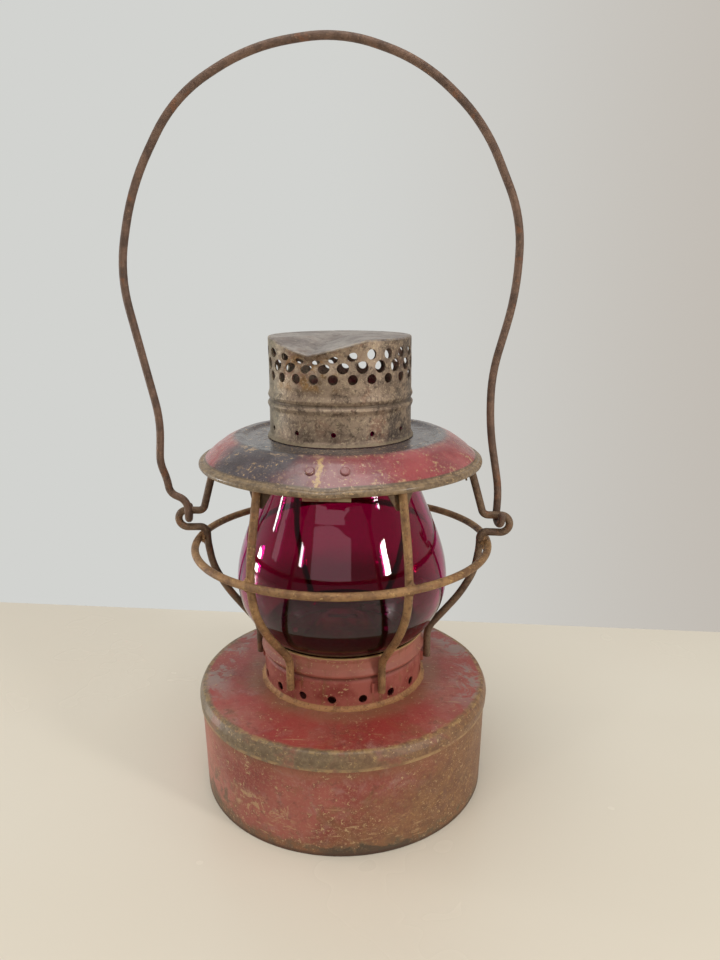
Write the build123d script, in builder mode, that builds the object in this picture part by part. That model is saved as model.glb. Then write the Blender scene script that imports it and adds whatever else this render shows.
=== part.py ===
from build123d import *
from math import cos, pi, radians, sin, tan
import os

# Railway hand lantern with a drum base, a caged globe, a hinged hood and a wire bail.
# Millimetres, +Z up.  The origin is the centre of the flat underside of the base.
# The front (catch side) faces -Y, the hood hinge is at +Y and the bail turns about X.
# An azimuth is counted from the front (-Y) towards +X.

os.makedirs("parts", exist_ok=True)

# ---------------------------------------------------------------- driving dimensions
SHEET = 0.8  # tinned sheet steel
WIRE = 1.9  # radius of the cage and bail wire
WIRE_AZIMUTHS = (-150, -90, -30, 30, 90, 150)  # six cage wires

BASE_FOOT_RADIUS = 74.0
BASE_WALL_RADIUS = 75.3
BASE_BAND_RADIUS = 76.4
BAND_BOTTOM = 46.1
BASE_TOP = 56.4  # flat top of the drum, where the collar stands
PAN_FLANGE = 3.0

COLLAR_RADIUS = 41.4
COLLAR_TOP = 84.0
COLLAR_HOLES = 17
COLLAR_HOLE_RADIUS = 2.15
COLLAR_HOLE_HEIGHT = 61.6
COLLAR_HOLE_AZIMUTH = -2.5  # the hole nearest the front

SEAT_HEIGHT = 78.0  # the globe stands here
GLOBE_TOP = 181.0
GLASS = 2.8

RING_RADIUS = 74.1  # centre line of the guard ring, outside the uprights
RING_HEIGHT = 129.9
FOOT_RADIUS = COLLAR_RADIUS + 3.2  # centre line of the wire feet, clear of the collar bead
CROWN_RADIUS = 60.3  # outer face of the ring that joins the wire tops
CROWN_BOTTOM = 169.5
CROWN_TOP = 175.8

HOOD_BORE = 35.2
RIM_RADIUS = 68.2  # centre line of the rolled rim
RIM_HEIGHT = 173.4
RIM_ROLL = 1.7

CHIMNEY_RADIUS = 34.5
CHIMNEY_TOP = 233.4
CHIMNEY_ROWS = ((216.0, 2.3, 0.0), (221.4, 2.85, 7.5), (227.0, 2.3, 0.0))  # height, radius, turn
CHIMNEY_ROW_HOLES = 24
CHIMNEY_FOOT_HOLES = 12
CHIMNEY_FOOT_HOLE_RADIUS = 1.2
CHIMNEY_FOOT_HOLE_HEIGHT = 191.2

EYE_HEIGHT = 144.2  # axis the bail turns about
EYE_DROP = 9.2  # from the upper to the lower run of each wire eye
HOOK_X = 79.4
HOOK_RADIUS = 4.4  # centre line of the bail hook round the eye

HINGE_Y = 74.0
HINGE_HEIGHT = 173.1
HINGE_PIN_RADIUS = 1.3
HINGE_CLEARANCE = 0.06
BARREL_RADIUS = 2.7
BARREL_WIDTH = 12.0
LUG_WIDTH = 4.0
LUG_GAP = 0.15

RIVET_RADIUS = 1.3
RIVET_HEAD_RADIUS = 2.2
RIVET_HEAD = 0.9
RIVET_TAIL_RADIUS = 1.9
RIVET_TAIL = 0.6
RIVET_TURN = 7.1  # azimuth of the rivets either side of the middle
RIVET_SEAT_RADIUS = 60.9
RIVET_SEAT_HEIGHT = 181.02
SLOPE = 35.5  # the brim below the horizontal, where the rivets are
PLATE = 0.9

BURNER_RADIUS = 22.0
BURNER_WALL = 1.0
BURNER_TOP = 69.0
WICK_WIDTH = 12.7
WICK_THICK = 2.2
WICK_BOTTOM = 16.0
WICK_TOP = 83.0
TUBE_CLEARANCE = 0.35
TUBE_WALL = 0.6
SHAFT_RADIUS = 1.1
SHAFT_CLEARANCE = 0.05
SHAFT_HEIGHT = 65.0
STAR_RADIUS = 3.8
SHAFT_Y = WICK_THICK / 2 + 0.4 + STAR_RADIUS


# ---------------------------------------------------------------- helpers
def polar(azimuth, radius, height):
    """A point on a cylinder round the lantern's axis."""
    turn = radians(azimuth)
    return (radius * sin(turn), -radius * cos(turn), height)


def finish(part, name):
    """Label one finished piece and write it."""
    part.label = name
    export_step(part, f"parts/{name}.step")


def round_radii(route, largest=1000.0):
    """The largest tangent arcs that fit the corners of an open route."""
    points = [Vector(*point) for point in route]
    radii = []
    for before, corner, after in zip(points, points[1:], points[2:]):
        leaving = after - corner
        arriving = corner - before
        half_turn = radians(arriving.get_angle(leaving)) / 2
        shorter = min(arriving.length, leaving.length)
        radii.append(min(0.45 * shorter / tan(half_turn), largest))
    return radii


def bent_wire(route):
    """A round wire bent along a route of corners."""
    with BuildPart() as wire:
        with BuildLine() as centre:
            FilletPolyline(*route, radius=round_radii(route))
        with BuildSketch(Plane(origin=centre.line @ 0, z_dir=centre.line % 0)):
            Circle(WIRE)
        sweep()
    return wire.part


def pressed_sheet(outline, radii, inward, thickness=SHEET):
    """A turned shell: its outer line, thickened to the inside and revolved."""
    with BuildPart() as shell:
        with BuildSketch(Plane.XZ):
            with BuildLine():
                FilletPolyline(*outline, radius=radii)
                offset(amount=thickness, side=inward)
            make_face()
        revolve(axis=Axis.Z)
    return shell.part


# ---------------------------------------------------------------- base: the fuel tank
wall_outline = ((BASE_FOOT_RADIUS, 0), (BASE_WALL_RADIUS, 43.0), (BASE_WALL_RADIUS, 50.6))
with BuildPart() as base_drum:
    add(pressed_sheet(wall_outline, 40.0, Side.LEFT))
finish(base_drum.part, "base_drum")

pan_radius = BASE_FOOT_RADIUS - SHEET - 0.02
pan_lean = (BASE_WALL_RADIUS - BASE_FOOT_RADIUS) / 43.0
pan_outline = ((0, 0), (pan_radius, 0), (pan_radius + pan_lean * PAN_FLANGE, PAN_FLANGE))
with BuildPart() as base_bottom:
    add(pressed_sheet(pan_outline, 0.0, Side.LEFT))
finish(base_bottom.part, "base_bottom")

neck_bore = 18.6
lid_outline = (
    (BASE_BAND_RADIUS - 0.3, BAND_BOTTOM),
    (BASE_BAND_RADIUS, 51.0),
    (74.6, 55.0),
    (48.0, BASE_TOP),
    (neck_bore, BASE_TOP),
)
with BuildPart() as base_top:
    add(pressed_sheet(lid_outline, (3.4, 1.8, 60.0), Side.LEFT))
finish(base_top.part, "base_top")

with BuildPart() as collar_solder:
    with BuildSketch(Plane.XZ):
        with BuildLine():
            foot = COLLAR_RADIUS
            Line((foot, BASE_TOP), (foot + 2.3, BASE_TOP))
            ThreePointArc((foot + 2.3, BASE_TOP), (foot + 0.9, BASE_TOP + 0.7), (foot, BASE_TOP + 2.0))
            Line((foot, BASE_TOP + 2.0), (foot, BASE_TOP))
        make_face()
    revolve(axis=Axis.Z)
finish(collar_solder.part, "collar_solder")

# ---------------------------------------------------------------- collar and globe seat
collar_outline = (
    (COLLAR_RADIUS, BASE_TOP),
    (COLLAR_RADIUS, 70.4),
    (COLLAR_RADIUS - 0.7, 72.2),
    (COLLAR_RADIUS + 1.7, 74.8),
    (COLLAR_RADIUS, 77.4),
    (COLLAR_RADIUS, 81.0),
    (COLLAR_RADIUS + 0.8, 82.6),
    (COLLAR_RADIUS + 0.8, COLLAR_TOP),
)
with BuildPart() as collar:
    add(pressed_sheet(collar_outline, (1.5, 0.9, 1.3, 1.0, 1.5, 0.9), Side.LEFT))
    with Locations((0, 0, COLLAR_HOLE_HEIGHT)):
        with PolarLocations(COLLAR_RADIUS, COLLAR_HOLES, start_angle=COLLAR_HOLE_AZIMUTH - 90):
            Cylinder(COLLAR_HOLE_RADIUS, 6, rotation=(0, 90, 0), mode=Mode.SUBTRACT)
finish(collar.part, "collar")

seat_outer = COLLAR_RADIUS - SHEET
seat_inner = 29.0
seat_outline = ((seat_outer, SEAT_HEIGHT - 3.6), (seat_outer, SEAT_HEIGHT), (seat_inner, SEAT_HEIGHT))
with BuildPart() as globe_seat:
    add(pressed_sheet(seat_outline, 0.0, Side.LEFT))
    with Locations((0, 0, SEAT_HEIGHT)):
        with PolarLocations(32.6, 24):
            Cylinder(1.4, 4, mode=Mode.SUBTRACT)
finish(globe_seat.part, "globe_seat")

globe_wall = (
    (38.9, SEAT_HEIGHT),
    (39.9, 80.8),
    (41.0, 84.2),
    (44.2, 86.6),
    (48.0, 91.6),
    (52.1, 99.2),
    (54.2, 110.0),
    (53.1, 121.0),
    (49.9, 132.5),
    (45.2, 144.5),
    (40.4, 156.0),
    (36.7, 166.5),
    (34.9, GLOBE_TOP - 4),
    (34.8, GLOBE_TOP),
)
with BuildPart() as globe:
    add(pressed_sheet(globe_wall, round_radii(globe_wall), Side.LEFT, GLASS))
finish(globe.part, "globe")

# ---------------------------------------------------------------- wire cage
upright_route = (
    (62.6, 174.6),
    (65.4, 160.5),
    (68.8, 144.5),
    (70.3, 127.5),
    (68.2, 114.5),
    (61.2, 101.5),
    (51.4, 89.6),
    (FOOT_RADIUS, 81.6),
    (FOOT_RADIUS, 65.4),
)
upright_names = {
    -30: "guard_upright_front_left",
    30: "guard_upright_front_right",
    -150: "guard_upright_back_left",
    150: "guard_upright_back_right",
}
for azimuth, name in upright_names.items():
    with BuildPart() as guard_upright:
        add(bent_wire([polar(azimuth, radius, height) for radius, height in upright_route]))
    finish(guard_upright.part, name)

eye_turn = EYE_DROP / 2
ear_route = (
    (62.6, 174.6),
    (66.0, 164.0),
    (71.6, EYE_HEIGHT),
    (84.9, EYE_HEIGHT),
    (84.9, EYE_HEIGHT - EYE_DROP),
    (70.25, EYE_HEIGHT - EYE_DROP + 0.4),
    *upright_route[3:],
)
ear_points = [(radius, 0, height) for radius, height in ear_route]
ear_radii = round_radii(ear_points)
ear_radii[1:4] = (3.4, eye_turn - 0.02, eye_turn - 0.02)
with BuildPart() as ear_wire_right:
    with BuildLine() as ear_line:
        FilletPolyline(*ear_points, radius=ear_radii)
    with BuildSketch(Plane(origin=ear_line.line @ 0, z_dir=ear_line.line % 0)):
        Circle(WIRE)
    sweep()
with BuildPart() as ear_wire_left:
    add(mirror(ear_wire_right.part, about=Plane.YZ))
finish(ear_wire_right.part, "ear_wire_right")
finish(ear_wire_left.part, "ear_wire_left")

with BuildPart() as guard_ring:
    with BuildSketch(Plane.XZ):
        with Locations((RING_RADIUS, RING_HEIGHT)):
            Circle(WIRE)
    revolve(axis=Axis.Z)
finish(guard_ring.part, "guard_ring")

strap_width = 8.0
strap_bottom = 64.6
strap_height = 5.0
strap_outer = FOOT_RADIUS - WIRE
with BuildPart() as foot_straps:
    with BuildSketch(Plane.XY.offset(strap_bottom)):
        for azimuth in WIRE_AZIMUTHS:
            with PolarLocations(COLLAR_RADIUS, 1, start_angle=azimuth - 90):
                Rectangle(4.0, strap_width)
        Circle(strap_outer, mode=Mode.INTERSECT)
        Circle(COLLAR_RADIUS, mode=Mode.SUBTRACT)
    extrude(amount=strap_height)
finish(foot_straps.part, "foot_straps")

with BuildPart() as crown_ring:
    with BuildSketch(Plane.XZ):
        with BuildLine():
            crown_line = ((CROWN_RADIUS, CROWN_BOTTOM), (CROWN_RADIUS, CROWN_TOP), (CROWN_RADIUS - 4.4, CROWN_TOP))
            FilletPolyline(*crown_line, radius=1.2)
            offset(amount=SHEET, side=Side.LEFT)
        make_face()
    revolve(axis=Axis.Z)
finish(crown_ring.part, "crown_ring")

tab_top = 14.0
tab_tip = 4.6
tab_bottom = 162.6
tab_lean = 11.2  # the wire's lean from the vertical, in degrees
with BuildPart() as wire_tabs:
    for azimuth in WIRE_AZIMUTHS:
        lean_out = radians(tab_lean)
        turn = radians(azimuth)
        outward = (sin(turn) * cos(lean_out), -cos(turn) * cos(lean_out), sin(lean_out))
        across = (cos(turn), sin(turn), 0)
        wire_radius = 62.6 + (174.6 - tab_bottom) * tan(lean_out)
        back = WIRE / cos(lean_out) + 0.02
        tab_plane = Plane(origin=polar(azimuth, wire_radius - back, tab_bottom), x_dir=across, z_dir=outward)
        with BuildSketch(tab_plane):
            with BuildLine():
                Polyline(
                    (-tab_tip / 2, 0),
                    (tab_tip / 2, 0),
                    (tab_top / 2, 9.0),
                    (-tab_top / 2, 9.0),
                    close=True,
                )
            make_face()
        extrude(amount=-PLATE)
finish(wire_tabs.part, "wire_tabs")

# ---------------------------------------------------------------- hood
brim_outline = (
    (HOOD_BORE, 185.2),
    (46.4, 184.7),
    (48.6, 186.0),
    (52.0, 186.0),
    (57.0, 183.8),
    (62.6, 179.8),
    (RIM_RADIUS - 0.2, RIM_HEIGHT + 1.4),
)
RIVET_AZIMUTHS = (-RIVET_TURN, RIVET_TURN, 180 - RIVET_TURN, 180 + RIVET_TURN)


def rivet_plane(azimuth, lift=0.0):
    """The plane a rivet head sits on: on the brim's slope, raised by lift."""
    lean = radians(SLOPE)
    turn = radians(azimuth)
    outward = (sin(turn) * sin(lean), -cos(turn) * sin(lean), cos(lean))
    return Plane(origin=polar(azimuth, RIVET_SEAT_RADIUS, RIVET_SEAT_HEIGHT), z_dir=outward).offset(lift)


with BuildPart() as hood_brim:
    add(pressed_sheet(brim_outline, (1.4, 1.6, 2.4, 12.0, 14.0), Side.RIGHT))
    with BuildSketch(Plane.XZ):
        with Locations((RIM_RADIUS, RIM_HEIGHT)):
            Circle(RIM_ROLL)
    revolve(axis=Axis.Z)
    for azimuth in RIVET_AZIMUTHS:
        with Locations(rivet_plane(azimuth)):
            Cylinder(RIVET_RADIUS, 8, mode=Mode.SUBTRACT)
finish(hood_brim.part, "hood_brim")

chimney_outline = (
    (CHIMNEY_RADIUS + 1.5, 185.6),
    (CHIMNEY_RADIUS + 0.3, 187.8),
    (CHIMNEY_RADIUS + 0.1, 199.6),
    (CHIMNEY_RADIUS + 1.1, 202.0),
    (CHIMNEY_RADIUS - 0.2, 203.8),
    (CHIMNEY_RADIUS + 0.8, 206.0),
    (CHIMNEY_RADIUS, 208.4),
    (CHIMNEY_RADIUS, CHIMNEY_TOP - SHEET),
)
with BuildPart() as chimney_tube:
    add(pressed_sheet(chimney_outline, (1.8, 3.0, 1.2, 0.8, 1.2, 3.0), Side.LEFT))
    for height, radius, turn in CHIMNEY_ROWS:
        with Locations((0, 0, height)):
            with PolarLocations(CHIMNEY_RADIUS, CHIMNEY_ROW_HOLES, start_angle=turn - 90):
                Cylinder(radius, 5, rotation=(0, 90, 0), mode=Mode.SUBTRACT)
    with Locations((0, 0, CHIMNEY_FOOT_HOLE_HEIGHT)):
        with PolarLocations(CHIMNEY_RADIUS, CHIMNEY_FOOT_HOLES, start_angle=-90):
            Cylinder(CHIMNEY_FOOT_HOLE_RADIUS, 5, rotation=(0, 90, 0), mode=Mode.SUBTRACT)
finish(chimney_tube.part, "chimney_tube")

cap_skirt = CHIMNEY_RADIUS - SHEET - 0.02
skirt_height = 3.4
with BuildPart() as chimney_cap:
    with BuildSketch(Plane.XY.offset(CHIMNEY_TOP - SHEET)):
        Circle(CHIMNEY_RADIUS)
    extrude(amount=SHEET)
    fillet(chimney_cap.edges().sort_by(Axis.Z)[-1], 0.6)
    with BuildSketch(Plane.XY.offset(CHIMNEY_TOP - skirt_height)):
        Circle(cap_skirt)
        Circle(cap_skirt - SHEET, mode=Mode.SUBTRACT)
    extrude(amount=skirt_height - SHEET)
finish(chimney_cap.part, "chimney_cap")

holder_outline = (
    (32.4, GLOBE_TOP + 0.5 + SHEET),
    (36.0, GLOBE_TOP + 0.5 + SHEET),
    (38.4, 184.25),
    (45.0, 183.93),
)
with BuildPart() as globe_holder:
    add(pressed_sheet(holder_outline, (0.9, 0.9), Side.RIGHT))
finish(globe_holder.part, "globe_holder")

# ---------------------------------------------------------------- catch at the front
plate_half_width = 10.3
plate_outline = ((-57.5, 181.5), (-65.6, 174.9), (-65.6, 169.2))
with BuildPart() as latch_plate:
    with BuildSketch(Plane.YZ):
        with BuildLine():
            FilletPolyline(*plate_outline, radius=1.8)
            offset(amount=PLATE, side=Side.LEFT)
        make_face()
    extrude(amount=plate_half_width, both=True)
    for azimuth in RIVET_AZIMUTHS[:2]:
        with Locations(rivet_plane(azimuth)):
            Cylinder(RIVET_RADIUS, 12, mode=Mode.SUBTRACT)
finish(latch_plate.part, "latch_plate")

catch_half_width = 8.0
with BuildPart() as crown_catch:
    with BuildSketch(Plane.XY.offset(170.6)):
        with Locations((0, -61.4)):
            Rectangle(2 * catch_half_width, 5.8)
        Circle(CROWN_RADIUS, mode=Mode.SUBTRACT)
    extrude(amount=2.6)
    fillet(crown_catch.edges().filter_by(Axis.X).group_by(Axis.Y)[0], 1.0)
finish(crown_catch.part, "crown_catch")


def rivet(azimuth, lift, shank):
    """A domed rivet through the brim, clenched underneath."""
    with BuildPart() as pin:
        with BuildSketch(Plane.XY.offset(-shank - RIVET_TAIL)):
            Circle(RIVET_TAIL_RADIUS)
        extrude(amount=RIVET_TAIL)
        with BuildSketch(Plane.XY.offset(-shank)):
            Circle(RIVET_RADIUS)
        extrude(amount=shank)
        with BuildSketch(Plane.XY):
            Circle(RIVET_HEAD_RADIUS)
        extrude(amount=RIVET_HEAD)
        fillet(pin.edges().sort_by(Axis.Z)[-1], 0.8 * RIVET_HEAD)
    return rivet_plane(azimuth, lift).location * pin.part


latch_shank = 3.4
with BuildPart() as latch_rivets:
    for azimuth in RIVET_AZIMUTHS[:2]:
        add(rivet(azimuth, 0.0, latch_shank))
finish(latch_rivets.part, "latch_rivets")

# ---------------------------------------------------------------- hinge at the back
leaf_half_width = 12.0
leaf_outline = (
    (58.6, 182.85),
    (62.9, 179.9),
    (68.3, 175.4),
    (70.3, HINGE_HEIGHT + BARREL_RADIUS - PLATE),
    (HINGE_Y, HINGE_HEIGHT + BARREL_RADIUS - PLATE),
)
with BuildPart() as hinge_leaf:
    with BuildSketch(Plane.YZ):
        with BuildLine():
            FilletPolyline(*leaf_outline, radius=(4.0, 2.0, 2.0))
            offset(amount=PLATE, side=Side.LEFT)
        make_face()
    extrude(amount=leaf_half_width, both=True)
    with Locations((0, HINGE_Y, HINGE_HEIGHT)):
        for side in (-1, 1):
            with Locations((side * (leaf_half_width + BARREL_WIDTH / 2) / 2, -1.0, 0)):
                Box(leaf_half_width - BARREL_WIDTH / 2, 5.4, 8, mode=Mode.SUBTRACT)
        Cylinder(BARREL_RADIUS, BARREL_WIDTH, rotation=(0, 90, 0))
        Cylinder(
            HINGE_PIN_RADIUS + HINGE_CLEARANCE, BARREL_WIDTH, rotation=(0, 90, 0), mode=Mode.SUBTRACT
        )
    for azimuth in RIVET_AZIMUTHS[2:]:
        with Locations(rivet_plane(azimuth)):
            Cylinder(RIVET_RADIUS, 12, mode=Mode.SUBTRACT)
finish(hinge_leaf.part, "hinge_leaf")

hinge_lift = 1.6
with BuildPart() as hinge_rivets:
    for azimuth in RIVET_AZIMUTHS[2:]:
        add(rivet(azimuth, hinge_lift, hinge_lift + SHEET + 0.1))
finish(hinge_rivets.part, "hinge_rivets")

lug_inner = BARREL_WIDTH / 2 + LUG_GAP
arm_bottom = 168.6
arm_top = 171.1
with BuildPart() as hinge_lugs:
    for side in (-1, 1):
        with BuildSketch(Plane.YZ.offset(side * (lug_inner + LUG_WIDTH / 2))):
            with BuildLine():
                Polyline(
                    (CROWN_RADIUS - 0.5, arm_top),
                    (CROWN_RADIUS - 0.5, arm_bottom),
                    (HINGE_Y - 1.4, arm_bottom),
                    (HINGE_Y + BARREL_RADIUS, HINGE_HEIGHT),
                    (HINGE_Y - BARREL_RADIUS, HINGE_HEIGHT),
                    (HINGE_Y - BARREL_RADIUS, arm_top),
                    close=True,
                )
            make_face()
            with Locations((HINGE_Y, HINGE_HEIGHT)):
                Circle(BARREL_RADIUS)
                Circle(HINGE_PIN_RADIUS, mode=Mode.SUBTRACT)
        extrude(amount=LUG_WIDTH / 2, both=True)
    Cylinder(CROWN_RADIUS, 400, mode=Mode.SUBTRACT)
finish(hinge_lugs.part, "hinge_lugs")

pin_half = lug_inner + LUG_WIDTH
pin_head = 1.0
with BuildPart() as hinge_pin:
    with BuildSketch(Plane.YZ.offset(-pin_half - pin_head)):
        with Locations((HINGE_Y, HINGE_HEIGHT)):
            Circle(HINGE_PIN_RADIUS)
    extrude(amount=2 * (pin_half + pin_head))
    for x in (-pin_half - pin_head, pin_half):
        with BuildSketch(Plane.YZ.offset(x)):
            with Locations((HINGE_Y, HINGE_HEIGHT)):
                Circle(2.1)
        extrude(amount=pin_head)
finish(hinge_pin.part, "hinge_pin")

# ---------------------------------------------------------------- burner
neck_inner = 17.2
with BuildPart() as burner_neck:
    with BuildSketch(Plane.XZ):
        with BuildLine():
            Polyline(
                (neck_inner, 50.4),
                (neck_bore, 50.4),
                (neck_bore, BASE_TOP),
                (22.6, BASE_TOP),
                (22.6, BASE_TOP + 1),
                (neck_inner, BASE_TOP + 1),
                close=True,
            )
        make_face()
    revolve(axis=Axis.Z)
finish(burner_neck.part, "burner_neck")

tube_length = WICK_WIDTH + 2 * (TUBE_CLEARANCE + TUBE_WALL)
tube_depth = WICK_THICK + 2 * (TUBE_CLEARANCE + TUBE_WALL)
deck = BASE_TOP + 1
with BuildPart() as burner_body:
    with BuildSketch(Plane.XZ):
        with BuildLine():
            Polyline(
                (0, deck),
                (16.1, deck),
                (16.1, 51.0),
                (neck_inner - 0.1, 51.0),
                (neck_inner - 0.1, deck),
                (BURNER_RADIUS, deck),
                (BURNER_RADIUS, BURNER_TOP),
                (BURNER_RADIUS - BURNER_WALL, BURNER_TOP),
                (BURNER_RADIUS - BURNER_WALL, deck + 1),
                (0, deck + 1),
                close=True,
            )
        make_face()
    revolve(axis=Axis.Z)
    with BuildSketch(Plane.XY.offset(deck)):
        Rectangle(tube_length, tube_depth)
    extrude(amount=2, mode=Mode.SUBTRACT)
    with Locations((0, 0, deck + 2.2)):
        with PolarLocations(BURNER_RADIUS + 0.35, 48):
            Cylinder(0.75, 4.4, mode=Mode.SUBTRACT)
    with Locations((0, SHAFT_Y, SHAFT_HEIGHT)):
        Cylinder(SHAFT_RADIUS + SHAFT_CLEARANCE, 60, rotation=(0, 90, 0), mode=Mode.SUBTRACT)
finish(burner_body.part, "burner_body")

star_x = 3.4
star_width = 1.4
with BuildPart() as wick_tube:
    with BuildSketch(Plane.XY.offset(46.0)):
        Rectangle(tube_length, tube_depth)
        offset(amount=-TUBE_WALL, mode=Mode.SUBTRACT)
    extrude(amount=34.0)
    for x in (-star_x, star_x):
        with Locations((x, tube_depth / 2, SHAFT_HEIGHT)):
            Box(star_width + 1.0, 2.4, 2 * STAR_RADIUS + 2, mode=Mode.SUBTRACT)
finish(wick_tube.part, "wick_tube")

with BuildPart() as wick:
    with BuildSketch(Plane.XY.offset(WICK_BOTTOM)):
        RectangleRounded(WICK_WIDTH, WICK_THICK, 0.9)
    extrude(amount=WICK_TOP - WICK_BOTTOM)
finish(wick.part, "wick")

shaft_end = 33.4
with BuildPart() as wick_shaft:
    with BuildSketch(Plane.YZ.offset(-22.8)):
        with Locations((SHAFT_Y, SHAFT_HEIGHT)):
            Circle(SHAFT_RADIUS)
    extrude(amount=22.8 + shaft_end)
finish(wick_shaft.part, "wick_shaft")

with BuildPart() as wick_stars:
    for x in (-star_x, star_x):
        with BuildSketch(Plane.YZ.offset(x)):
            with Locations((SHAFT_Y, SHAFT_HEIGHT)):
                Circle(STAR_RADIUS - 0.9)
                with PolarLocations(STAR_RADIUS - 1.2, 12):
                    RegularPolygon(1.1, 3)
                Circle(SHAFT_RADIUS, mode=Mode.SUBTRACT)
        extrude(amount=star_width / 2, both=True)
finish(wick_stars.part, "wick_stars")

knob_radius = 5.6
knob_width = 3.2
with BuildPart() as wick_knob:
    with BuildSketch(Plane.YZ.offset(shaft_end - knob_width)):
        with Locations((SHAFT_Y, SHAFT_HEIGHT)):
            Circle(knob_radius)
            with PolarLocations(knob_radius + 0.25, 28):
                Circle(0.55, mode=Mode.SUBTRACT)
            Circle(SHAFT_RADIUS, mode=Mode.SUBTRACT)
    extrude(amount=knob_width)
finish(wick_knob.part, "wick_knob")

cone_outline = (
    (BURNER_RADIUS + SHEET, BURNER_TOP - 2.4),
    (BURNER_RADIUS + SHEET, BURNER_TOP + 2.6),
    (19.4, 78.4),
    (12.0, 86.6),
    (0, 86.6),
)
with BuildPart() as burner_cone:
    add(pressed_sheet(cone_outline, (3.0, 9.0, 7.0), Side.LEFT))
    with BuildSketch(Plane.XY.offset(82.0)):
        RectangleRounded(WICK_WIDTH + 3.4, WICK_THICK + 3.0, 2.2)
    extrude(amount=8, mode=Mode.SUBTRACT)
    with Locations((0, 0, BURNER_TOP + 1.6)):
        with PolarLocations(BURNER_RADIUS, 30):
            Cylinder(1.1, 5, rotation=(0, 90, 0), mode=Mode.SUBTRACT)
finish(burner_cone.part, "burner_cone")

# ---------------------------------------------------------------- bail
BAIL_SKEW = HOOK_RADIUS / (HOOK_X - 1)  # one leg hangs behind its eye and the other in front
bail_route = (
    (HOOK_X - 0.2, 156.0),
    (73.6, 188.0),
    (73.4, 214.0),
    (83.6, 252.0),
    (84.6, 286.0),
    (66.0, 327.0),
    (38.0, 352.2),
    (2.0, 364.2),
    (-38.0, 358.6),
    (-73.0, 338.5),
    (-94.8, 301.0),
    (-103.6, 262.0),
    (-96.2, 226.0),
    (-89.2, 192.0),
    (-91.0, 170.6),
    (-88.0, 162.0),
    (-87.0, 154.6),
    (1 - HOOK_X, 150.6),
)
hook_bottom = EYE_HEIGHT - HOOK_RADIUS
hook_tip = EYE_HEIGHT + 2.6


def hook(side):
    """The corners of one hook, from its tip to the foot of its leg."""
    return [
        (side * (HOOK_X + 1), -side * HOOK_RADIUS, hook_tip),
        (side * (HOOK_X + 1), -side * HOOK_RADIUS, hook_bottom),
        (side * (HOOK_X - 1), side * HOOK_RADIUS, hook_bottom),
    ]


bail_points = hook(1) + [(x, BAIL_SKEW * x, z) for x, z in bail_route] + hook(-1)[::-1]
bail_radii = round_radii(bail_points)
for corner in (0, 1, -2, -1):
    bail_radii[corner] = HOOK_RADIUS
with BuildPart() as bail:
    with BuildLine() as bail_line:
        FilletPolyline(*bail_points, radius=bail_radii)
    with BuildSketch(Plane(origin=bail_line.line @ 0, z_dir=bail_line.line % 0)):
        Circle(WIRE)
    sweep()
    fillet(bail.faces().filter_by(GeomType.PLANE).edges(), WIRE - 0.3)
finish(bail.part, "bail")
print("bail radii", [round(radius, 1) for radius in bail_radii])
bail_length = sum(edge.length for edge in bail_line.edges())
print("bail length", round(bail_length, 1), "volume", round(bail.part.volume / (pi * WIRE**2), 1))
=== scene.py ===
from math import atan2, cos, degrees, exp, pi, radians, sin

import bmesh
import bpy
from mathutils import Matrix, Vector, noise


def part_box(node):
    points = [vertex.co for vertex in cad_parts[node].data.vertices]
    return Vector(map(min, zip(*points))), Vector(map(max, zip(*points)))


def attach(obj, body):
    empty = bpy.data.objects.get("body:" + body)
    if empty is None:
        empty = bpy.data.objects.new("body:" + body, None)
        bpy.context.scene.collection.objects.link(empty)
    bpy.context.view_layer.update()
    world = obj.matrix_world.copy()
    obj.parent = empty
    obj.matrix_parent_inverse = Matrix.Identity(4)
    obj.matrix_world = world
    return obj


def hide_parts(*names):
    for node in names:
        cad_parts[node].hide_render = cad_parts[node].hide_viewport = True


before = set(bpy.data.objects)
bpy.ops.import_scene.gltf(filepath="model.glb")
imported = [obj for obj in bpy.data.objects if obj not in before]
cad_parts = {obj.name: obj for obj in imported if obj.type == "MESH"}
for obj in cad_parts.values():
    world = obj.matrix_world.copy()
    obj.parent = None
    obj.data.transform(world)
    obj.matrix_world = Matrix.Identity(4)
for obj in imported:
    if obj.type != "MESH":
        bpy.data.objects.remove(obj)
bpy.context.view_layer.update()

# Looks for the railway lantern.  Metres, in the frame of the CAD model: the lantern stands on
# z = 0, its axis is the Z axis and its front (the catch) faces -Y.
# An azimuth is counted from the front towards +X, in degrees.

MM = 0.001

# heights
BAND_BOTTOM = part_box("base_top")[0].z
BASE_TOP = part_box("base_top")[1].z
LID_EDGE = BASE_TOP - 1.6 * MM  # where the top of the drum turns down
COLLAR_BEAD = 72.4 * MM
COLLAR_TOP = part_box("collar")[1].z
BRIM_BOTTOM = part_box("hood_brim")[0].z
CHIMNEY_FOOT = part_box("hood_brim")[1].z
CHIMNEY_CRIMP = 203.8 * MM
CHIMNEY_HOLES = 218.5 * MM  # middle of the three rows
CHIMNEY_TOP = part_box("chimney_cap")[1].z
# radii
CHIMNEY_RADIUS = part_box("chimney_cap")[1].x
COLLAR_RADIUS = 41.4 * MM
HOOD_CREASE = 53.3 * MM
HOOD_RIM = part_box("hood_brim")[1].x - 3.5 * MM  # where the rolled rim starts
LID_SHOULDER = 71.2 * MM


# ---------------------------------------------------------------- places
def azimuth_of(point):
    return degrees(atan2(point.x, -point.y))


def radius_of(point):
    return Vector((point.x, point.y)).length


def smooth(value, low, high):
    """0 at low, 1 at high, with a soft start and end."""
    share = min(max((value - low) / (high - low), 0.0), 1.0)
    return share * share * (3 - 2 * share)


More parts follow.
